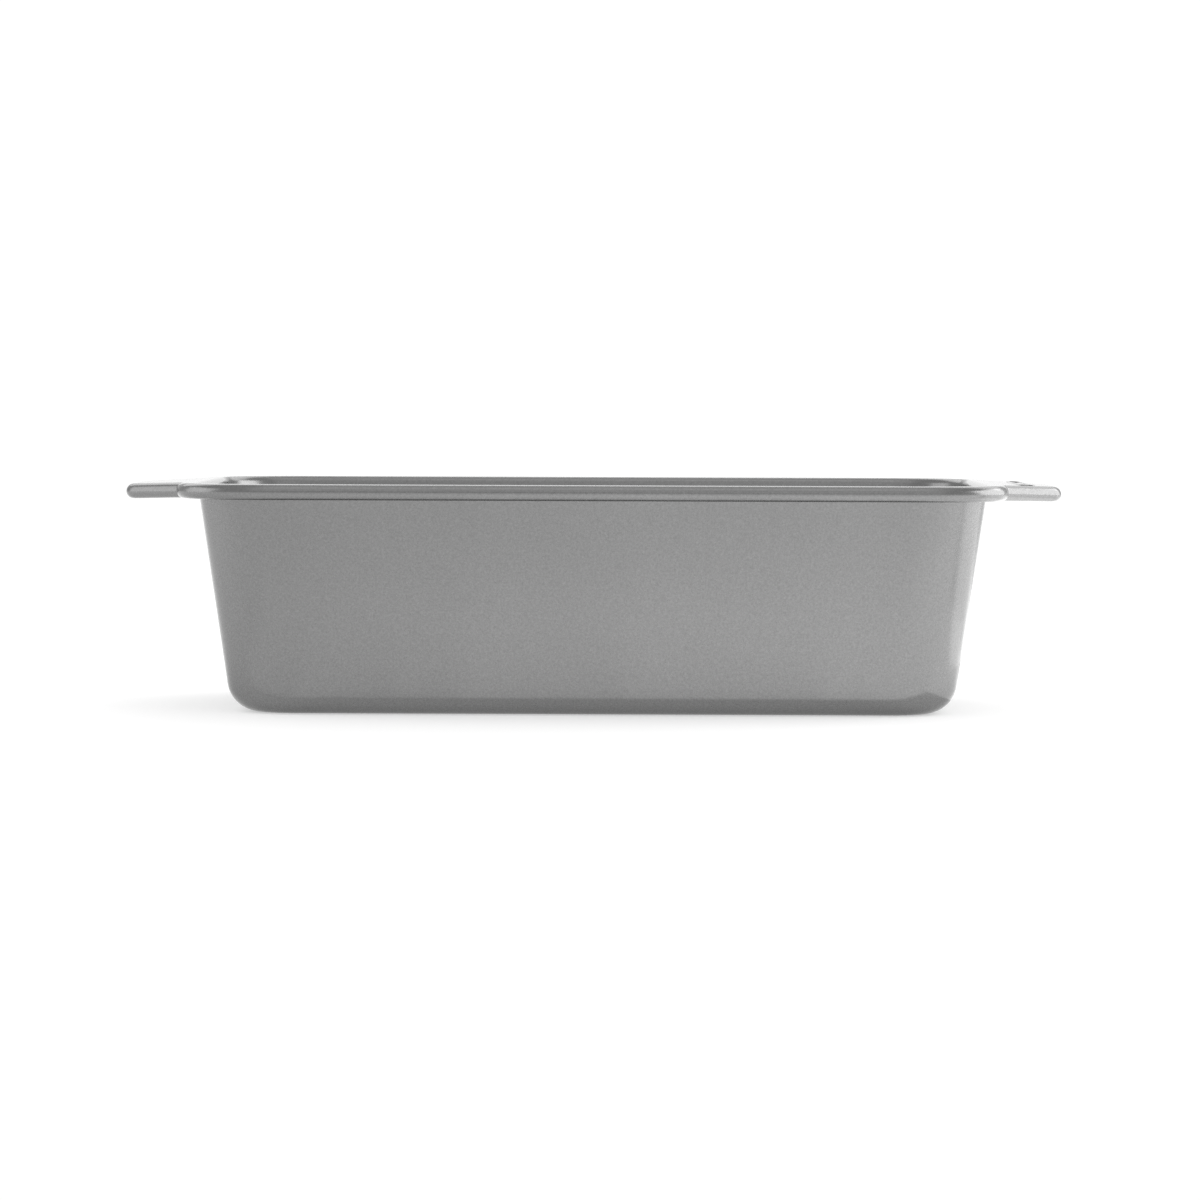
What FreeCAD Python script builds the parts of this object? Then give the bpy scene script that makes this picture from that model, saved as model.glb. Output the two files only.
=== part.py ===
"""Loaf pan: a deep-drawn steel shell with a curled rim and two end handles, and the wire inside the curl.

The origin is at the centre of the underside, where the pan stands. +X runs along the loaf, +Z is up.
All sizes are in millimetres.
"""
import FreeCAD, Part

import math
import os

from FreeCAD import Vector

# Driving dimensions of the tub
HEIGHT = 70.0  # underside to the top of the rim
SHEET = 0.8  # steel sheet, coating included
MOUTH_LENGTH = 240.6  # outside of the walls, carried up to the top of the rim
MOUTH_WIDTH = 138.4
WALL_LEAN = math.radians(8.0)  # the walls flare outwards from the vertical
MOUTH_CORNER = 24.5  # corner radius in plan, outside, at the top of the rim
BASE_CORNER = 21.0  # the same at the underside
FOOT_RADIUS = 10.0  # outside radius between the walls and the floor of the pan
LIP_RADIUS = 2.0  # radius over which the inside of the wall turns into the flange

# Driving dimensions of the rim
WIRE_DIAMETER = 3.0
WIRE_CLEARANCE = 0.05  # between the wire and the inside of the curl
WIRE_BUTT_GAP = 0.4  # between the two ends of the wire, at the middle of the rear side
FLANGE_REACH = 6.4  # from the wall to the outermost line of the curl
CURL_MOUTH_GAP = 0.15  # between the cut edge of the curl and the flange above it

# Driving dimensions of the two handles, which are part of the flange
OVERALL_LENGTH = 289.8  # over the curls of both handles
HANDLE_SLANT = math.radians(50.0)  # of the handle's sides, from the X axis
NOTCH_RADIUS = 2.0  # outermost line of the curl where a handle leaves the rim
HANDLE_CORNER = 11.0  # outermost line of the curl at the handle's outer corners
HANDLE_DROOP = 0.045  # fall of the handle for each millimetre outwards

# A plain raised ring, with round ends, on top of one handle
RING_LENGTH = 58.0
RING_WIDTH = 5.0
RING_BEAD = 0.9  # width of the raised line itself
RING_RISE = 0.3
RING_FROM_CENTRE = 133.6  # along X, to the ring's own centre, far enough out to stay below the rim

# Sizes that follow from those above
CURL_RADIUS = WIRE_DIAMETER / 2 + WIRE_CLEARANCE + SHEET
CURL_LEVEL = HEIGHT - CURL_RADIUS  # height of the wire's centre
CURL_REACH = FLANGE_REACH - CURL_RADIUS  # from the wall to the wire's centre
SHEET_ACROSS = SHEET / math.cos(WALL_LEAN)  # the wall's thickness along the horizontal
HANDLE_END = OVERALL_LENGTH / 2 - CURL_RADIUS  # the wire's centre at the end of a handle
BEND_X = MOUTH_LENGTH / 2 + CURL_REACH  # the handles fall from here outwards
PLUS_Z = Vector(0, 0, 1)
OVERSHOOT = 5.0  # how far a cutting tool runs past what it cuts
SMALL = 1e-4


def direction(angle):
    """The unit vector in the XY plane at an angle from +X, in radians."""
    return Vector(math.cos(angle), math.sin(angle), 0)


def arc(centre, radius, start, end):
    """An arc about a vertical axis, from one angle to another in radians, either way round."""
    middle = (start + end) / 2
    ends = [centre + direction(a) * radius for a in (start, middle, end)]
    return Part.Arc(*ends).toShape()


def rounded_rectangle(half_length, half_width, radius, z):
    """A closed outline about the Z axis, from the middle of a corner's arc all the way round."""
    arcs = []
    for quarter in range(4):
        towards = direction(math.radians(45 + 90 * quarter))
        centre = Vector(
            math.copysign(half_length - radius, towards.x),
            math.copysign(half_width - radius, towards.y),
            z,
        )
        start = math.radians(90 * quarter)
        arcs.append(arc(centre, radius, start, start + math.pi / 2))
    edges = []
    for this, following in zip(arcs, arcs[1:] + arcs[:1]):
        edges.append(this)
        edges.append(Part.makeLine(this.Vertexes[-1].Point, following.Vertexes[0].Point))
    return Part.Wire(edges)


def wall_outline(z, inwards):
    """The plan of the walls at height z, moved inwards from their outside surface."""
    fall = (HEIGHT - z) * math.tan(WALL_LEAN) + inwards
    corner = BASE_CORNER + (MOUTH_CORNER - BASE_CORNER) * z / HEIGHT - inwards
    return rounded_rectangle(MOUTH_LENGTH / 2 - fall, MOUTH_WIDTH / 2 - fall, corner, z)


def tub(bottom, top, inwards, foot):
    """A solid with the flared walls, from one height to another, rounded round its bottom edge."""
    outlines = [wall_outline(bottom, inwards), wall_outline(top, inwards)]
    solid = Part.makeLoft(outlines, True, True)
    edges = [e for e in solid.Edges if e.BoundBox.ZMax < bottom + SMALL]
    return solid.makeFillet(foot, edges)


def rim_quarter():
    """The wire's centreline from the middle of the front side to the middle of the right handle."""
    z = CURL_LEVEL
    corner = MOUTH_CORNER + CURL_REACH
    notch = NOTCH_RADIUS + CURL_RADIUS
    outer = HANDLE_CORNER - CURL_RADIUS
    rim_y = -(MOUTH_WIDTH / 2 + CURL_REACH)
    corner_centre = Vector(BEND_X - corner, rim_y + corner, z)
    notch_centre = Vector(BEND_X + notch, corner_centre.y, z)
    square = math.pi / 2

    front = Part.makeLine(Vector(0, rim_y, z), Vector(corner_centre.x, rim_y, z))
    corner_arc = arc(corner_centre, corner, -square, 0)
    notch_arc = arc(notch_centre, notch, math.pi, square + HANDLE_SLANT)

    side_start = notch_arc.Vertexes[-1].Point
    outer_centre_x = HANDLE_END - outer
    side_end_x = outer_centre_x + outer * math.sin(HANDLE_SLANT)
    side_rise = (side_end_x - side_start.x) * math.tan(HANDLE_SLANT)
    side_end = Vector(side_end_x, side_start.y + side_rise, z)
    outer_centre = Vector(outer_centre_x, side_end.y + outer * math.cos(HANDLE_SLANT), z)
    side = Part.makeLine(side_start, side_end)
    outer_arc = arc(outer_centre, outer, HANDLE_SLANT - square, 0)
    end = Part.makeLine(Vector(HANDLE_END, outer_centre.y, z), Vector(HANDLE_END, 0, z))
    return [front, corner_arc, notch_arc, side, outer_arc, end]


def four_quarters(shape):
    """The shape and its mirror images about the XZ and YZ planes."""
    origin = Vector(0, 0, 0)
    right = [shape, shape.mirror(origin, Vector(0, 1, 0))]
    return right + [s.mirror(origin, Vector(1, 0, 0)) for s in right]


def along(edge, section):
    """The solid that a section makes when it is carried along one line or arc of the rim."""
    start = edge.valueAt(edge.FirstParameter)
    heading = edge.tangentAt(edge.FirstParameter)
    face = section(start, heading.cross(PLUS_Z))
    if isinstance(edge.Curve, Part.Line):
        return face.extrude(edge.valueAt(edge.LastParameter) - start)
    circle = edge.Curve
    turn = math.degrees(edge.Length / circle.Radius)
    turns_left = heading.cross(circle.Center - start).z > 0
    return face.revolve(circle.Center, PLUS_Z if turns_left else -PLUS_Z, turn)


def curl_section(centre, outwards):
    """The sheet rolled down and back round the wire, from the flange's edge to its own cut edge."""
    closed_at = math.pi - math.asin((CURL_RADIUS - SHEET - CURL_MOUTH_GAP) / CURL_RADIUS)
    sweep = math.pi / 2 + 2 * math.pi - closed_at

    def at(radius, share):
        angle = math.pi / 2 - sweep * share
        return centre + outwards * (radius * math.cos(angle)) + PLUS_Z * (radius * math.sin(angle))

    inner = CURL_RADIUS - SHEET
    outside = Part.Arc(at(CURL_RADIUS, 0), at(CURL_RADIUS, 0.5), at(CURL_RADIUS, 1)).toShape()
    inside = Part.Arc(at(inner, 1), at(inner, 0.5), at(inner, 0)).toShape()
    cut_edge = Part.makeLine(at(CURL_RADIUS, 1), at(inner, 1))
    joint = Part.makeLine(at(inner, 0), at(CURL_RADIUS, 0))
    return Part.Face(Part.Wire([outside, cut_edge, inside, joint]))


def wire_section(centre, outwards):
    """The round section of the wire."""
    circle = Part.makeCircle(WIRE_DIAMETER / 2, centre, outwards.cross(PLUS_Z))
    return Part.Face(Part.Wire([circle]))


def round_the_rim(section):
    """A section carried all the way round the rim and its handles, as one solid."""
    quarter = [along(edge, section) for edge in rim_quarter()]
    pieces = [p for piece in quarter for p in four_quarters(piece)]
    return pieces[0].multiFuse(pieces[1:]).removeSplitter()


def flange_plate():
    """The flat sheet inside the rim's centreline, handles included, with no tub cut out of it yet."""
    lift = Vector(0, 0, HEIGHT - SHEET - CURL_LEVEL)
    edges = [e for edge in rim_quarter() for e in four_quarters(edge)]
    outline = Part.Wire(Part.__sortEdges__(edges))
    outline.translate(lift)
    return Part.Face(outline).extrude(Vector(0, 0, SHEET))


def raised_ring():
    """The plain ring that stands up from the right-hand handle, from halfway down its sheet."""
    def stadium(width, length):
        radius = width / 2
        straight = length / 2 - radius
        bottom = HEIGHT - SHEET / 2
        arcs = [
            arc(Vector(0, straight, bottom), radius, 0, math.pi),
            arc(Vector(0, -straight, bottom), radius, math.pi, 2 * math.pi),
        ]
        sides = [
            Part.makeLine(arcs[0].Vertexes[-1].Point, arcs[1].Vertexes[0].Point),
            Part.makeLine(arcs[1].Vertexes[-1].Point, arcs[0].Vertexes[0].Point),
        ]
        face = Part.Face(Part.Wire([arcs[0], sides[0], arcs[1], sides[1]]))
        return face.extrude(Vector(0, 0, RING_RISE + SHEET / 2))

    ring = stadium(RING_WIDTH, RING_LENGTH).cut(
        stadium(RING_WIDTH - 2 * RING_BEAD, RING_LENGTH - 2 * RING_BEAD)
    )
    ring.translate(Vector(RING_FROM_CENTRE, 0, 0))
    return ring


def droop_handles(shape):
    """The shape with both handles sheared downwards, outwards from where they leave the rim."""
    size = OVERALL_LENGTH
    far_out = Part.makeBox(size, 2 * size, 2 * size, Vector(BEND_X, -size, -size))
    middle = shape
    handles = []
    for side in (1, -1):
        box = far_out if side > 0 else far_out.mirror(Vector(0, 0, 0), Vector(1, 0, 0))
        shear = FreeCAD.Matrix()
        shear.A31 = -side * HANDLE_DROOP
        shear.A34 = HANDLE_DROOP * BEND_X
        handles.append(shape.common(box).transformGeometry(shear))
        middle = middle.cut(box)
    return middle.multiFuse(handles)


def pan_shell():
    """The pressed sheet: floor, walls, flange, handles and curl."""
    outside = tub(0, HEIGHT, 0, FOOT_RADIUS)
    body = outside.fuse(flange_plate())
    under = HEIGHT - SHEET
    root = [
        e
        for e in body.Edges
        if abs(e.BoundBox.ZMin - under) < SMALL
        and abs(e.BoundBox.ZMax - under) < SMALL
        and e.BoundBox.XMax < BEND_X - CURL_REACH + SMALL
        and e.BoundBox.XMin > -BEND_X + CURL_REACH - SMALL
        and e.BoundBox.YMax < MOUTH_WIDTH / 2 + SMALL
        and e.BoundBox.YMin > -MOUTH_WIDTH / 2 - SMALL
    ]
    body = body.makeFillet(LIP_RADIUS - SHEET, root)
    inside = tub(SHEET, HEIGHT + OVERSHOOT, SHEET_ACROSS, FOOT_RADIUS - SHEET)
    body = body.cut(inside)
    lip = [
        e
        for e in body.Edges
        if abs(e.BoundBox.ZMin - HEIGHT) < SMALL
        and e.BoundBox.YMax < MOUTH_WIDTH / 2
        and e.BoundBox.YMin > -MOUTH_WIDTH / 2
        and e.BoundBox.XMax < MOUTH_LENGTH / 2
        and e.BoundBox.XMin > -MOUTH_LENGTH / 2
    ]
    body = body.makeFillet(LIP_RADIUS, lip)
    body = body.multiFuse([raised_ring(), round_the_rim(curl_section)]).removeSplitter()
    return droop_handles(body)


def rim_wire():
    """The wire inside the curl: one length, bent to the rim's plan, whose ends meet at the rear."""
    gap_y = MOUTH_WIDTH / 2 + CURL_REACH
    gap = Part.makeBox(
        WIRE_BUTT_GAP,
        2 * WIRE_DIAMETER,
        2 * WIRE_DIAMETER,
        Vector(-WIRE_BUTT_GAP / 2, gap_y - WIRE_DIAMETER, CURL_LEVEL - WIRE_DIAMETER),
    )
    return droop_handles(round_the_rim(wire_section).cut(gap))


def main():
    os.makedirs("parts", exist_ok=True)
    for name, build in {"pan_shell": pan_shell, "rim_wire": rim_wire}.items():
        shape = build()
        solids = shape.Solids
        print(name, "solids", len(solids), "valid", shape.isValid(), "volume mm3", round(shape.Volume, 1))
        solids[0].exportStep(f"parts/{name}.step")


main()
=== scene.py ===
import math

import bmesh
import bpy
from mathutils import Matrix, Vector


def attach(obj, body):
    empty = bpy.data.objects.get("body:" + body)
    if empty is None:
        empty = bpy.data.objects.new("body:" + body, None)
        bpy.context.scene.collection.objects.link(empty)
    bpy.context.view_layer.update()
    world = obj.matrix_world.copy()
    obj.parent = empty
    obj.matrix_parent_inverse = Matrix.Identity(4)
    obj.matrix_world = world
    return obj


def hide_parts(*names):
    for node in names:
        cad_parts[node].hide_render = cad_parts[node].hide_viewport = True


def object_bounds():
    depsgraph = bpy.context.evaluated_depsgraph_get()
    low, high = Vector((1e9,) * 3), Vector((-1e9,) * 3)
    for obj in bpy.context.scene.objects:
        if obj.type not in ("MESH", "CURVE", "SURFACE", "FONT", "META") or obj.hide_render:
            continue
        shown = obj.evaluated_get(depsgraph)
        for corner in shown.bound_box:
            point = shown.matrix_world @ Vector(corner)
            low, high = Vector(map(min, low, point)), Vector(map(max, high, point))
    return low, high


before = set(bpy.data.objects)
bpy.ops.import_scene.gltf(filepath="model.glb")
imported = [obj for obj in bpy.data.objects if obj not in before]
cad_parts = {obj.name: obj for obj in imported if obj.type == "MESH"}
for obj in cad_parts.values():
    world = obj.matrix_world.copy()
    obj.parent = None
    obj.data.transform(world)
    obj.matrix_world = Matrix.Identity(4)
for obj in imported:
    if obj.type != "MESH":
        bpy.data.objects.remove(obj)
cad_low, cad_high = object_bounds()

MM = 0.001

# ------------------------------------------------------------------------------------------------
# The pan's sizes, as in the CAD source. The three overall ones are read from the frame.
# ------------------------------------------------------------------------------------------------
OVERALL_LENGTH = cad_high.x - cad_low.x
OVERALL_WIDTH = cad_high.y - cad_low.y
HEIGHT = cad_high.z
SHEET = 0.8 * MM
WALL_LEAN = math.radians(8.0)
FLANGE_REACH = 6.4 * MM  # from the walls, carried up to the rim, to the curl's outermost line
MOUTH_LENGTH = 240.6 * MM
MOUTH_WIDTH = OVERALL_WIDTH - 2 * FLANGE_REACH
MOUTH_CORNER = 24.5 * MM
BASE_CORNER = 21.0 * MM
FOOT_RADIUS = 10.0 * MM
LIP_RADIUS = 2.0 * MM
WIRE_RADIUS = 1.5 * MM
WIRE_CLEARANCE = 0.05 * MM
WIRE_BUTT_GAP = 0.4 * MM
CURL_MOUTH_GAP = 0.15 * MM
HANDLE_SLANT = math.radians(50.0)
NOTCH_RADIUS = 2.0 * MM
HANDLE_CORNER = 11.0 * MM
HANDLE_DROOP = 0.045  # fall for each unit of length along the pan
HANDLE_FOLD = 1.5 * MM  # how gently the fall begins
PAST_THE_FOLD = 30  # this many folds out, the easing makes no difference
RING_FROM_CENTRE = 133.6 * MM
RING_LENGTH = 58.0 * MM
RING_WIDTH = 5.0 * MM
RING_BEAD = 0.9 * MM
RING_RISE = 0.3 * MM

CURL_RADIUS = WIRE_RADIUS + WIRE_CLEARANCE + SHEET
CURL_LEVEL = HEIGHT - CURL_RADIUS
CURL_REACH = FLANGE_REACH - CURL_RADIUS
RIM_CORNER = MOUTH_CORNER + CURL_REACH
HANDLE_END = OVERALL_LENGTH / 2 - CURL_RADIUS
BEND_X = MOUTH_LENGTH / 2 + CURL_REACH
RIM_Y = MOUTH_WIDTH / 2 + CURL_REACH
CORNER_Y = RIM_Y - RIM_CORNER  # from here to the middle of an end, the walls are straight
SHEET_ACROSS = SHEET / math.cos(WALL_LEAN)

# How finely each stretch of a quarter of the plan is divided
FRONT_STEPS = 20
CORNER_STEPS = 20
HANDLE_ARC_STEPS = 8
HANDLE_LINE_STEPS = 8


# ------------------------------------------------------------------------------------------------
# The plan: a quarter of it, from the middle of the front to the middle of the right-hand end
# ------------------------------------------------------------------------------------------------
def shares(steps):
    """Evenly spaced shares from 0 up to, and not including, 1."""
    return [i / steps for i in range(steps)]


def handle_plan():
    """(point, outward direction) along the wire, from the rim's corner to the end's middle."""
    notch = NOTCH_RADIUS + CURL_RADIUS
    outer = HANDLE_CORNER - CURL_RADIUS
    quarter = math.pi / 2
    notch_centre = Vector((BEND_X + notch, -CORNER_Y))
    places = []
    for share in shares(HANDLE_ARC_STEPS):
        angle = math.pi - share * (quarter - HANDLE_SLANT)
        towards = Vector((math.cos(angle), math.sin(angle)))
        places.append((notch_centre + towards * notch, -towards))
    angle = quarter + HANDLE_SLANT
    side_start = notch_centre + Vector((math.cos(angle), math.sin(angle))) * notch
    side_normal = Vector((math.sin(HANDLE_SLANT), -math.cos(HANDLE_SLANT)))
    outer_x = HANDLE_END - outer
    run = outer_x + outer * math.sin(HANDLE_SLANT) - side_start.x
    side_end = side_start + Vector((run, run * math.tan(HANDLE_SLANT)))
    for share in shares(HANDLE_LINE_STEPS):
        places.append((side_start.lerp(side_end, share), side_normal))
    outer_centre = side_end - side_normal * outer
    for share in shares(HANDLE_ARC_STEPS):
        angle = (HANDLE_SLANT - quarter) * (1 - share)
        towards = Vector((math.cos(angle), math.sin(angle)))
        places.append((outer_centre + towards * outer, towards))
    end_start = Vector((HANDLE_END, outer_centre.y))
    for share in shares(HANDLE_LINE_STEPS):
        places.append((end_start.lerp(Vector((HANDLE_END, 0)), share), Vector((1, 0))))
    places.append((Vector((HANDLE_END, 0)), Vector((1, 0))))
    return places


HANDLE_PLAN = handle_plan()
QUARTER = FRONT_STEPS + CORNER_STEPS + len(HANDLE_PLAN) - 1  # steps in a quarter of the plan
AROUND = 4 * QUARTER


def corner_angles():
    """The directions of the points on a corner's arc, from the front round to the right."""
    return [math.radians(90 * (share - 1)) for share in shares(CORNER_STEPS)]


def rim_quarter():
    """(point, outward direction) along the wire's centreline, for the whole quarter."""
    places = [
        (Vector(((BEND_X - RIM_CORNER) * share, -RIM_Y)), Vector((0, -1)))
        for share in shares(FRONT_STEPS)
    ]
    centre = Vector((BEND_X - RIM_CORNER, -CORNER_Y))
    for angle in corner_angles():
        towards = Vector((math.cos(angle), math.sin(angle)))
        places.append((centre + towards * RIM_CORNER, towards))
    return places + HANDLE_PLAN


def wall_quarter(spread, level):
    """The points of a rounded rectangle: the walls' plan at a level, moved outwards by spread."""
    fall = (HEIGHT - level) * math.tan(WALL_LEAN)
    half_length = MOUTH_LENGTH / 2 - fall + spread
    half_width = MOUTH_WIDTH / 2 - fall + spread
    radius = BASE_CORNER + (MOUTH_CORNER - BASE_CORNER) * level / HEIGHT + spread
    centre = Vector((half_length - radius, radius - half_width))
    points = [Vector((centre.x * share, -half_width)) for share in shares(FRONT_STEPS)]
    for angle in corner_angles():
        points.append(centre + Vector((math.cos(angle), math.sin(angle))) * radius)
    points += [Vector((half_length, p.y * centre.y / -CORNER_Y)) for p, _ in HANDLE_PLAN]
    return points


def all_round(quarter):
    """A quarter's points, mirrored all the way round, anticlockwise from the front's middle."""
    there, back = quarter[:-1], quarter[:0:-1]
    return (
        [Vector((p.x, p.y)) for p in there]
        + [Vector((p.x, -p.y)) for p in back]
        + [Vector((-p.x, -p.y)) for p in there]
        + [Vector((-p.x, p.y)) for p in back]
    )


RIM_POINTS = all_round([p for p, _ in rim_quarter()])
RIM_NORMALS = all_round([n for _, n in rim_quarter()])


def droop(point):
    """The point, lowered where it is on a handle, with the fold eased over a short stretch."""
    folds_out = (abs(point.x) - BEND_X) / HANDLE_FOLD
    if folds_out < PAST_THE_FOLD:
        folds_out = math.log1p(math.exp(folds_out))
    return Vector((point.x, point.y, point.z - HANDLE_DROOP * HANDLE_FOLD * folds_out))


def wall_ring(spread, level, z):
    """A ring of points on the walls' plan at a level, moved outwards by spread, at height z."""
    return [Vector((p.x, p.y, z)) for p in all_round(wall_quarter(spread, level))]


def curl_ring(radius, angle):
    """A ring of points round the rim, at one angle on the curl's section."""
    out = radius * math.cos(angle)
    z = CURL_LEVEL + radius * math.sin(angle)
    return [Vector((p.x + n.x * out, p.y + n.y * out, z)) for p, n in zip(RIM_POINTS, RIM_NORMALS)]


def between(ring, other, share):
    """The ring that lies at a share of the way from one ring to another."""
    return [a.lerp(b, share) for a, b in zip(ring, other)]


# ------------------------------------------------------------------------------------------------
# The shell: rings from the middle of the floor, up the inside, round the curl and down the outside
# ------------------------------------------------------------------------------------------------
FOOT_STEPS = 10
WALL_STEPS = 8
LIP_STEPS = 8
FLANGE_STEPS = 6
CURL_STEPS = 30
FLOOR_STEPS = 3
FLOOR_GRID_SHARE = 0.6  # the floor's middle, a plain grid, is this share of its size


def foot_rings(inside):
    """From the floor up to the wall: the round between them, on the inside or the outside."""
    radius = FOOT_RADIUS - SHEET if inside else FOOT_RADIUS
    level = FOOT_RADIUS * (1 - math.sin(WALL_LEAN))
    centre_fall = (HEIGHT - FOOT_RADIUS) * math.tan(WALL_LEAN) + FOOT_RADIUS / math.cos(WALL_LEAN)
    level_fall = (HEIGHT - level) * math.tan(WALL_LEAN)
    rings = []
    for step in range(FOOT_STEPS + 1):
        angle = -math.pi / 2 + (math.pi / 2 - WALL_LEAN) * step / FOOT_STEPS
        z = FOOT_RADIUS + radius * math.sin(angle)
        spread = radius * math.cos(angle) - centre_fall + level_fall
        rings.append(wall_ring(spread, level, z))
    return rings


def shell_rings():
    """Every ring of the shell, from the floor's inside edge to the underside's edge."""
    foot_top = FOOT_RADIUS - (FOOT_RADIUS - SHEET) * math.sin(WALL_LEAN)
    outer_foot_top = FOOT_RADIUS - FOOT_RADIUS * math.sin(WALL_LEAN)
    lip_level = HEIGHT - LIP_RADIUS
    lip_spread = LIP_RADIUS / math.cos(WALL_LEAN) - SHEET_ACROSS
    rings = foot_rings(True)
    wall_top = HEIGHT - LIP_RADIUS * (1 - math.sin(WALL_LEAN))
    for step in range(1, WALL_STEPS):
        z = foot_top + (wall_top - foot_top) * step / WALL_STEPS
        rings.append(wall_ring(-SHEET_ACROSS, z, z))
    for step in range(LIP_STEPS + 1):
        angle = math.pi - WALL_LEAN - (math.pi / 2 - WALL_LEAN) * step / LIP_STEPS
        spread = lip_spread + LIP_RADIUS * math.cos(angle)
        rings.append(wall_ring(spread, lip_level, lip_level + LIP_RADIUS * math.sin(angle)))
    top_of_curl = curl_ring(CURL_RADIUS, math.pi / 2)
    lip_edge = rings[-1]
    rings += [between(lip_edge, top_of_curl, s / FLANGE_STEPS) for s in range(1, FLANGE_STEPS)]

    inner = CURL_RADIUS - SHEET
    closed_at = math.pi - math.asin((inner - CURL_MOUTH_GAP) / CURL_RADIUS)
    sweep = math.pi / 2 + 2 * math.pi - closed_at
    turn = [math.pi / 2 - sweep * step / CURL_STEPS for step in range(CURL_STEPS + 1)]
    rings += [curl_ring(CURL_RADIUS, angle) for angle in turn]
    rings += [curl_ring(inner, angle) for angle in reversed(turn)]

    under_radius = LIP_RADIUS - SHEET
    under_edge = wall_ring(lip_spread, lip_level, HEIGHT - SHEET)
    rings += [between(rings[-1], under_edge, s / FLANGE_STEPS) for s in range(1, FLANGE_STEPS)]
    for step in range(LIP_STEPS + 1):
        angle = math.pi / 2 + (math.pi / 2 - WALL_LEAN) * step / LIP_STEPS
        spread = lip_spread + under_radius * math.cos(angle)
        rings.append(wall_ring(spread, lip_level, lip_level + under_radius * math.sin(angle)))
    wall_bottom = lip_level + under_radius * math.sin(WALL_LEAN)
    for step in range(1, WALL_STEPS):
        z = wall_bottom + (outer_foot_top - wall_bottom) * step / WALL_STEPS
        rings.append(wall_ring(0.0, z, z))
    return rings + foot_rings(False)[::-1]


def add_ring(bm, ring):
    """The ring's vertices, with the handles lowered."""
    return [bm.verts.new(droop(p)) for p in ring]


def join_rings(bm, ring, following):
    """A band of quads between two rings."""
    for i in range(len(ring)):
        j = (i + 1) % len(ring)
        bm.faces.new((ring[i], ring[j], following[j], following[i]))


def add_floor(bm, edge, facing_up):
    """Quads that close the ring edge with a flat floor: bands towards a grid, then the grid."""
    half_columns = FRONT_STEPS + CORNER_STEPS // 2  # edge[half_columns] is a corner's middle
    half_rows = AROUND // 4 - half_columns
    z = edge[0].co.z
    grid_x = edge[half_columns].co.x * FLOOR_GRID_SHARE
    grid_y = -edge[half_columns].co.y * FLOOR_GRID_SHARE

    def place(column, row):
        return Vector((grid_x * column / half_columns, grid_y * row / half_rows, z))

    grid = {}
    for column in range(-half_columns, half_columns + 1):
        for row in range(-half_rows, half_rows + 1):
            grid[column, row] = bm.verts.new(place(column, row))
    border = [(c, -half_rows) for c in range(0, half_columns)]
    border += [(half_columns, r) for r in range(-half_rows, half_rows)]
    border += [(c, half_rows) for c in range(half_columns, -half_columns, -1)]
    border += [(-half_columns, r) for r in range(half_rows, -half_rows, -1)]
    border += [(c, -half_rows) for c in range(-half_columns, 0)]
    inner = [grid[key] for key in border]
    previous = edge
    for step in range(1, FLOOR_STEPS):
        share = step / FLOOR_STEPS
        ring = [bm.verts.new(a.co.lerp(b.co, share)) for a, b in zip(edge, inner)]
        join_rings(bm, *((ring, previous) if facing_up else (previous, ring)))
        previous = ring
    join_rings(bm, *((inner, previous) if facing_up else (previous, inner)))
    for column in range(-half_columns, half_columns):
        for row in range(-half_rows, half_rows):
            quad = [(column, row), (column + 1, row), (column + 1, row + 1), (column, row + 1)]
            if not facing_up:
                quad.reverse()
            bm.faces.new([grid[key] for key in quad])


def finish_mesh(bm, name):
    """An object made from the bmesh, smooth all over."""
    bmesh.ops.recalc_face_normals(bm, faces=bm.faces)
    mesh = bpy.data.meshes.new(name)
    bm.to_mesh(mesh)
    bm.free()
    mesh.shade_smooth()
    obj = bpy.data.objects.new(name, mesh)
    bpy.context.scene.collection.objects.link(obj)
    return obj


def make_shell():
    """The sheet: one closed skin with its thickness, its curl and its handles."""
    bm = bmesh.new()
    rings = [add_ring(bm, ring) for ring in shell_rings()]
    for ring, following in zip(rings, rings[1:]):
        join_rings(bm, ring, following)
    add_floor(bm, rings[0], True)
    add_floor(bm, rings[-1], False)
    return finish_mesh(bm, "pan_sheet")


# ------------------------------------------------------------------------------------------------
# The wire inside the curl, with a narrow gap between its ends at the middle of the rear
# ------------------------------------------------------------------------------------------------
WIRE_STEPS = 16


def make_wire():
    """A round wire inside the curl all the way round, with flat ends at the gap."""
    bm = bmesh.new()
    rear = 2 * QUARTER
    order = [(rear + i) % AROUND for i in range(AROUND)] + [rear]
    sections = []
    for place, index in enumerate(order):
        point, normal = RIM_POINTS[index], RIM_NORMALS[index]
        shift = {0: -WIRE_BUTT_GAP / 2, AROUND: WIRE_BUTT_GAP / 2}.get(place, 0.0)
        section = []
        for step in range(WIRE_STEPS):
            angle = 2 * math.pi * step / WIRE_STEPS
            out = WIRE_RADIUS * math.cos(angle)
            up = WIRE_RADIUS * math.sin(angle)
            x = point.x + shift + normal.x * out
            y = point.y + normal.y * out
            section.append(bm.verts.new(droop(Vector((x, y, CURL_LEVEL + up)))))
        sections.append(section)
    for section, following in zip(sections, sections[1:]):
        join_rings(bm, section, following)
    bm.faces.new(sections[0])
    bm.faces.new(sections[-1][::-1])
    return finish_mesh(bm, "rim_wire_steel")


# ------------------------------------------------------------------------------------------------
# The plain ring raised on the right-hand handle
# ------------------------------------------------------------------------------------------------
RING_ARC_STEPS = 16
RING_SECTION_STEPS = 8
CREASE_ANGLE = math.radians(35.0)  # edges that bend by more than this aren't smoothed over
SLIVER = 0.001 * MM  # points nearer than this, left where the bead meets the sheet, become one
RING_ROOT = 0.4 * MM  # how far the bead reaches down into the sheet before the two are joined


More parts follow.
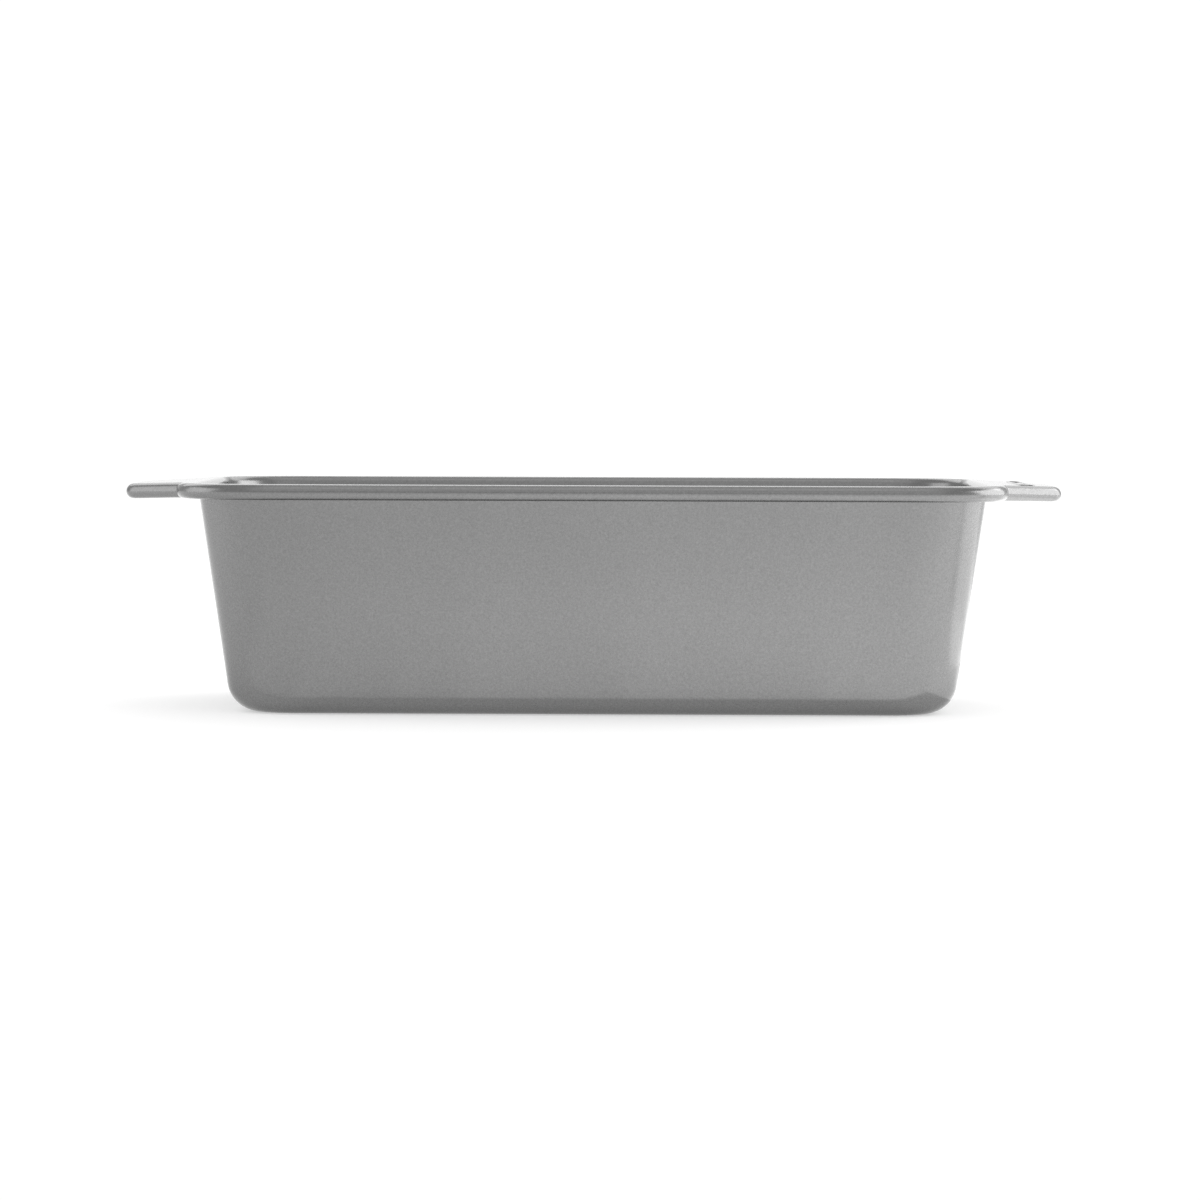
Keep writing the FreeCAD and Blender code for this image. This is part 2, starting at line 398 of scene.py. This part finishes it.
def ring_places():
    """(point, outward direction) round the middle of the bead."""
    radius = (RING_WIDTH - RING_BEAD) / 2
    reach = (RING_LENGTH - RING_WIDTH) / 2
    places = []
    for end in (1, -1):
        centre = Vector((RING_FROM_CENTRE, end * reach))
        for step in range(RING_ARC_STEPS + 1):
            angle = math.pi * step / RING_ARC_STEPS + (0 if end > 0 else math.pi)
            towards = Vector((math.cos(angle), math.sin(angle)))
            places.append((centre + towards * radius, towards))
    return places


def raise_ring(shell):
    """Joins a low bead with a rounded section to the handle's top."""
    bm = bmesh.new()
    half = RING_BEAD / 2
    sections = []
    for point, normal in ring_places():
        section = []
        for step in range(RING_SECTION_STEPS + 1):
            across = half * (2 * step / RING_SECTION_STEPS - 1)
            rise = RING_RISE * math.sqrt(max(0.0, 1 - (across / half) ** 2))
            spot = point + normal * across
            section.append(bm.verts.new(droop(Vector((spot.x, spot.y, HEIGHT + rise)))))
        for across in (half, -half):
            spot = point + normal * across
            section.append(bm.verts.new(droop(Vector((spot.x, spot.y, HEIGHT - RING_ROOT)))))
        sections.append(section)
    for section, following in zip(sections, sections[1:] + sections[:1]):
        join_rings(bm, section, following)
    bead = finish_mesh(bm, "ring_bead")
    join = shell.modifiers.new("raised_ring", "BOOLEAN")
    join.operation = "UNION"
    join.solver = "EXACT"
    join.object = bead
    evaluated = shell.evaluated_get(bpy.context.evaluated_depsgraph_get())
    mesh = bpy.data.meshes.new_from_object(evaluated)
    shell.modifiers.clear()
    joined = bmesh.new()
    joined.from_mesh(mesh)
    bmesh.ops.remove_doubles(joined, verts=joined.verts, dist=SLIVER)
    joined.to_mesh(mesh)
    joined.free()
    mesh.set_sharp_from_angle(angle=CREASE_ANGLE)
    shell.data = mesh
    bpy.data.objects.remove(bead)


# ------------------------------------------------------------------------------------------------
# Materials
# ------------------------------------------------------------------------------------------------
def new_material(name):
    """A new material, its node tree and its Principled shader."""
    material = bpy.data.materials.new(name)
    material.use_nodes = True
    tree = material.node_tree
    return material, tree, tree.nodes["Principled BSDF"]


def noise(tree, scale, detail=2.0, roughness=0.5, stretch=(1, 1, 1)):
    """A noise texture in metres of the object's own frame, so its grain is a real size."""
    place = tree.nodes.new("ShaderNodeTexCoord")
    mapping = tree.nodes.new("ShaderNodeMapping")
    mapping.inputs["Scale"].default_value = stretch
    texture = tree.nodes.new("ShaderNodeTexNoise")
    texture.inputs["Scale"].default_value = scale
    texture.inputs["Detail"].default_value = detail
    texture.inputs["Roughness"].default_value = roughness
    tree.links.new(place.outputs["Object"], mapping.inputs["Vector"])
    tree.links.new(mapping.outputs["Vector"], texture.inputs["Vector"])
    return texture


def remap(tree, value, low, high, start=0.3, end=0.7):
    """A value between start and end, carried over to between low and high."""
    node = tree.nodes.new("ShaderNodeMapRange")
    node.inputs["From Min"].default_value = start
    node.inputs["From Max"].default_value = end
    node.inputs["To Min"].default_value = low
    node.inputs["To Max"].default_value = high
    tree.links.new(value, node.inputs["Value"])
    return node.outputs["Result"]


def grey(tree, value):
    """A grey of the value."""
    node = tree.nodes.new("ShaderNodeCombineColor")
    for channel in ("Red", "Green", "Blue"):
        tree.links.new(value, node.inputs[channel])
    return node.outputs["Color"]


def multiply(tree, first, second):
    """The product of two values."""
    node = tree.nodes.new("ShaderNodeMath")
    node.operation = "MULTIPLY"
    tree.links.new(first, node.inputs[0])
    tree.links.new(second, node.inputs[1])
    return node.outputs["Value"]


def bump(tree, height, distance, below=None):
    """A bump whose full height is distance, in metres, laid over another bump if one is given."""
    node = tree.nodes.new("ShaderNodeBump")
    node.inputs["Strength"].default_value = 1.0
    node.inputs["Distance"].default_value = distance
    tree.links.new(height, node.inputs["Height"])
    if below is not None:
        tree.links.new(below, node.inputs["Normal"])
    return node.outputs["Normal"]


# The non-stick coating. A noise's scale is in features per metre.
COAT_GREY = 0.227
COAT_ROUGHNESS = 0.27
COAT_EDGE_TINT = (0.6, 0.6, 0.6, 1)  # holds back the brightening towards glancing angles
CLEAR_WEIGHT = 1.0  # of the clear top coat
CLEAR_ROUGHNESS = 0.08
CLEAR_IOR = 1.15  # low, so the top coat only shows at the most glancing angles
FLAKE_SCALE = 1500.0
FLAKE_VARIATION = 0.12
CLOUD_SCALE = 22.0
CLOUD_VARIATION = 0.015
ROUGHNESS_SCALE = 1400.0
ROUGHNESS_VARIATION = 0.03
PEEL_SCALE = 260.0
PEEL_HEIGHT = 0.004 * MM
FINE_SCALE = 2400.0
FINE_HEIGHT = 0.0035 * MM
# Wear: where handling has rubbed the convex edges, in patches, they are lighter and smoother
WEAR_SCALE = 180.0
WEAR_BRIGHTENING = 0.12
WEAR_SMOOTHING = 0.15
WEAR_FROM = 0.52  # pointiness at which wear begins; a flat surface has 0.5
WEAR_FULL = 0.60

DRAW_LINE_SCALE = 1500.0
DRAW_LINE_STRETCH = (0.05, 1, 1)
DRAW_LINE_HEIGHT = 0.003 * MM
STEEL_GREY = (0.42, 0.56)
STEEL_ROUGHNESS = (0.24, 0.36)

FLOOR_WHITE = 0.62
FLOOR_VARIATION = 0.01
FLOOR_CLOUD_SCALE = 3.0
FLOOR_GLOW = 0.48  # the floor is a translucent sheet lit from below as well as from above


def coating():
    """Metallic grey coating: fine flakes, a soft orange peel, faint clouds and rubbed edges."""
    material, tree, shader = new_material("nonstick_coating")
    shader.inputs["Metallic"].default_value = 1.0
    shader.inputs["Specular Tint"].default_value = COAT_EDGE_TINT
    shader.inputs["Coat Weight"].default_value = CLEAR_WEIGHT
    shader.inputs["Coat Roughness"].default_value = CLEAR_ROUGHNESS
    shader.inputs["Coat IOR"].default_value = CLEAR_IOR

    flakes = noise(tree, FLAKE_SCALE, 4.0, roughness=0.65)
    clouds = noise(tree, CLOUD_SCALE, 3.0)
    grain = remap(tree, flakes.outputs["Fac"], 1 - FLAKE_VARIATION, 1 + FLAKE_VARIATION)
    darkest = COAT_GREY * (1 - CLOUD_VARIATION)
    palest = COAT_GREY * (1 + CLOUD_VARIATION)
    patches = remap(tree, clouds.outputs["Fac"], darkest, palest)

    shape = tree.nodes.new("ShaderNodeNewGeometry")
    pointiness = shape.outputs["Pointiness"]
    edges = remap(tree, pointiness, 0.0, 1.0, start=WEAR_FROM, end=WEAR_FULL)
    handled = remap(tree, noise(tree, WEAR_SCALE, 3.0).outputs["Fac"], 0.0, 1.0, start=0.45)
    rubbed = multiply(tree, edges, handled)
    brighter = remap(tree, rubbed, 1.0, 1.0 + WEAR_BRIGHTENING, start=0.0, end=1.0)
    smoother = remap(tree, rubbed, 1.0, 1.0 - WEAR_SMOOTHING, start=0.0, end=1.0)

    tone = multiply(tree, multiply(tree, grain, patches), brighter)
    tree.links.new(grey(tree, tone), shader.inputs["Base Color"])
    smoothest = COAT_ROUGHNESS - ROUGHNESS_VARIATION
    roughest = COAT_ROUGHNESS + ROUGHNESS_VARIATION
    rough = remap(tree, noise(tree, ROUGHNESS_SCALE, 2.0).outputs["Fac"], smoothest, roughest)
    tree.links.new(multiply(tree, rough, smoother), shader.inputs["Roughness"])
    peel = bump(tree, noise(tree, PEEL_SCALE, 1.0).outputs["Fac"], PEEL_HEIGHT)
    fine = bump(tree, noise(tree, FINE_SCALE, 2.0).outputs["Fac"], FINE_HEIGHT, below=peel)
    tree.links.new(fine, shader.inputs["Normal"])
    return material


def drawn_steel():
    """Bare steel wire, with faint streaks that run along the pan's length."""
    material, tree, shader = new_material("drawn_steel")
    shader.inputs["Metallic"].default_value = 1.0
    lines = noise(tree, DRAW_LINE_SCALE, 2.0, stretch=DRAW_LINE_STRETCH).outputs["Fac"]
    tree.links.new(grey(tree, remap(tree, lines, *STEEL_GREY)), shader.inputs["Base Color"])
    tree.links.new(remap(tree, lines, *STEEL_ROUGHNESS), shader.inputs["Roughness"])
    tree.links.new(bump(tree, lines, DRAW_LINE_HEIGHT), shader.inputs["Normal"])
    return material


def pale_floor():
    """Matt white studio floor."""
    material, tree, shader = new_material("pale_floor")
    shader.inputs["Roughness"].default_value = 0.9
    shader.inputs["Specular IOR Level"].default_value = 0.1
    shader.inputs["Emission Color"].default_value = (1, 1, 1, 1)
    shader.inputs["Emission Strength"].default_value = FLOOR_GLOW
    clouds = noise(tree, FLOOR_CLOUD_SCALE, 2.0).outputs["Fac"]
    tone = remap(tree, clouds, FLOOR_WHITE - FLOOR_VARIATION, FLOOR_WHITE + FLOOR_VARIATION)
    tree.links.new(grey(tree, tone), shader.inputs["Base Color"])
    return material


# ------------------------------------------------------------------------------------------------
# The studio: floor, backdrop, light and camera, in metres unless a comment says otherwise
# ------------------------------------------------------------------------------------------------
FLOOR_HALF_SIZE = 6.0
FLOOR_DROP = 0.02 * MM  # keeps the floor from lying in the same plane as the pan's underside
BACKDROP_BRIGHTNESS = 1.08
BACKDROP_DISTANCE = 1.4
BACKDROP_WIDTH = 0.9
BACKDROP_HEIGHT = 1.12  # half of it is below the floor
SURROUND = 0.65  # brightness of what the pan reflects where there is no light

# Rectangular lights: name, place, the point each looks at, (width, height) and brightness
PAN_MIDDLE = (0, 0, HEIGHT / 2)
SOFTBOXES = [
    ("right_softbox", (0.52, 0.14, 0.18), PAN_MIDDLE, (0.50, 0.34), 2.6),
    ("left_softbox", (-0.60, 0.04, 0.20), PAN_MIDDLE, (0.45, 0.36), 1.1),
    ("front_softbox", (0.10, -0.9, 0.75), PAN_MIDDLE, (1.6, 0.8), 0.24),
    ("high_softbox", (0.10, -0.45, 1.1), PAN_MIDDLE, (1.4, 0.6), 0.2),
    ("front_right_softbox", (0.27, -0.6, 0.17), (0.27, 0, 0.17), (0.54, 0.36), 0.14),
    ("back_softbox", (0.10, 0.9, 0.75), PAN_MIDDLE, (2.0, 0.6), 1.45),
    ("top_softbox", (0.10, 0.0, 1.2), PAN_MIDDLE, (1.4, 0.8), 0.29),
]
# Hidden from reflections, so it lights the matt floor and not the metallic pan
LEFT_FILL = ("left_fill", (-1.2, 0.0, 1.0), PAN_MIDDLE, (1.2, 1.2), 0.5)

# Lights lying on the floor and facing up, for the leaning walls to reflect: name, range of X, range
# of Y and brightness. The wall cards overlap, so the floor's reflection brightens to the right.
CARDS = [
    ("wall_card_1", (-0.09, 0.42), (-0.32, -0.062), 0.07),
    ("wall_card_2", (-0.04, 0.42), (-0.32, -0.062), 0.08),
    ("wall_card_3", (0.01, 0.42), (-0.32, -0.062), 0.07),
    ("wall_card_4", (0.07, 0.42), (-0.32, -0.062), 0.07),
    ("foot_card_1", (-0.15, 0.42), (-0.17, -0.062), 0.11),
    ("foot_card_2", (-0.06, 0.42), (-0.17, -0.062), 0.05),
    ("side_card", (0.16, 0.46), (-0.03, 0.30), 0.7),
    ("close_card", (0.112, 0.22), (-0.062, 0.05), 0.5),
]
CARD_LEVEL = 1.0 * MM  # height of the lowest card above the floor
CARD_STEP = 0.2 * MM  # each card lies this far above the last: at one height they hide each other

CAMERA_DISTANCE = 1.5
CAMERA_HEIGHT = 0.0982  # above the floor
CAMERA_SIDESTEP = 2.0 * MM  # how far right of the pan's middle the camera's axis passes
CAMERA_PITCH = 0.0437  # radians, looking down
CAMERA_ROLL = 0.0035  # radians
CAMERA_TURN = 0.009  # radians round the pan, which brings its right-hand end a little nearer
LENS = 143.34  # millimetres, as is the sensor
SENSOR = 36.0
CLIP_NEAR = 0.05
CLIP_FAR = 50.0


def flat_square(name, half_size, material):
    """A flat square in the XY plane, centred on the origin, as part of the stage."""
    bm = bmesh.new()
    bmesh.ops.create_grid(bm, x_segments=1, y_segments=1, size=half_size)
    square = finish_mesh(bm, name)
    square.data.materials.append(material)
    return square


def add_floor_plane():
    """A wide plain floor at the height the pan stands on."""
    floor = flat_square("studio_floor", FLOOR_HALF_SIZE, pale_floor())
    floor.location.z = -FLOOR_DROP


def add_backdrop():
    """A glowing white sheet that stands upright behind the pan."""
    material, _, shader = new_material("backdrop")
    shader.inputs["Base Color"].default_value = (0, 0, 0, 1)
    shader.inputs["Specular IOR Level"].default_value = 0.0
    shader.inputs["Emission Color"].default_value = (1, 1, 1, 1)
    shader.inputs["Emission Strength"].default_value = BACKDROP_BRIGHTNESS
    sheet = flat_square("studio_backdrop", 0.5, material)  # of side 1, so its scale is its size
    sheet.scale = (BACKDROP_WIDTH, BACKDROP_HEIGHT, 1)
    sheet.rotation_euler.x = math.pi / 2
    sheet.location.y = BACKDROP_DISTANCE


def add_surround():
    """An even white surround."""
    world = bpy.data.worlds.new("studio")
    world.use_nodes = True
    background = world.node_tree.nodes["Background"]
    background.inputs["Color"].default_value = (1, 1, 1, 1)
    background.inputs["Strength"].default_value = SURROUND
    bpy.context.scene.world = world


def softbox(name, place, target, size, brightness):
    """A rectangular area light of a given brightness that the camera doesn't see."""
    width, height = size
    data = bpy.data.lights.new(name, "AREA")
    data.shape = "RECTANGLE"
    data.size = width
    data.size_y = height
    data.energy = brightness * math.pi * width * height
    light = bpy.data.objects.new(name, data)
    light.location = place
    light.rotation_mode = "QUATERNION"
    light.rotation_quaternion = (Vector(target) - Vector(place)).to_track_quat("-Z", "Y")
    light.visible_camera = False
    bpy.context.scene.collection.objects.link(light)
    return light


def card(name, across, along, level, brightness):
    """A light that lies just above the floor, facing up, over a range of X and a range of Y."""
    x = (across[0] + across[1]) / 2
    y = (along[0] + along[1]) / 2
    size = (across[1] - across[0], along[1] - along[0])
    softbox(name, (x, y, level), (x, y, level + 1), size, brightness)


def add_camera():
    """A long lens, a little above the rim and almost square to the front."""
    data = bpy.data.cameras.new("camera")
    data.lens = LENS
    data.sensor_width = SENSOR
    data.clip_start = CLIP_NEAR
    data.clip_end = CLIP_FAR
    camera = bpy.data.objects.new("camera", data)
    turn = Matrix.Rotation(CAMERA_TURN, 4, "Z")
    place = Matrix.Translation((CAMERA_SIDESTEP, -CAMERA_DISTANCE, CAMERA_HEIGHT))
    pitch = Matrix.Rotation(math.pi / 2 - CAMERA_PITCH, 4, "X")
    camera.matrix_world = turn @ place @ pitch @ Matrix.Rotation(CAMERA_ROLL, 4, "Z")
    bpy.context.scene.collection.objects.link(camera)
    bpy.context.scene.camera = camera


def add_studio():
    """The surround, the backdrop, the softboxes, the cards and the fill."""
    bpy.context.scene.view_settings.view_transform = "Standard"
    add_surround()
    add_backdrop()
    for lamp in SOFTBOXES:
        softbox(*lamp)
    for number, (name, across, along, brightness) in enumerate(CARDS):
        card(name, across, along, CARD_LEVEL + number * CARD_STEP, brightness)
    softbox(*LEFT_FILL).visible_glossy = False
    add_floor_plane()


# ------------------------------------------------------------------------------------------------
# Assembly
# ------------------------------------------------------------------------------------------------
add_camera()
add_studio()

pan_sheet = make_shell()
raise_ring(pan_sheet)
pan_sheet.data.materials.append(coating())
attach(pan_sheet, "root")
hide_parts("pan_shell")

rim_wire_steel = make_wire()
rim_wire_steel.data.materials.append(drawn_steel())
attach(rim_wire_steel, "root")
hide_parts("rim_wire")

bpy.context.view_layer.update()
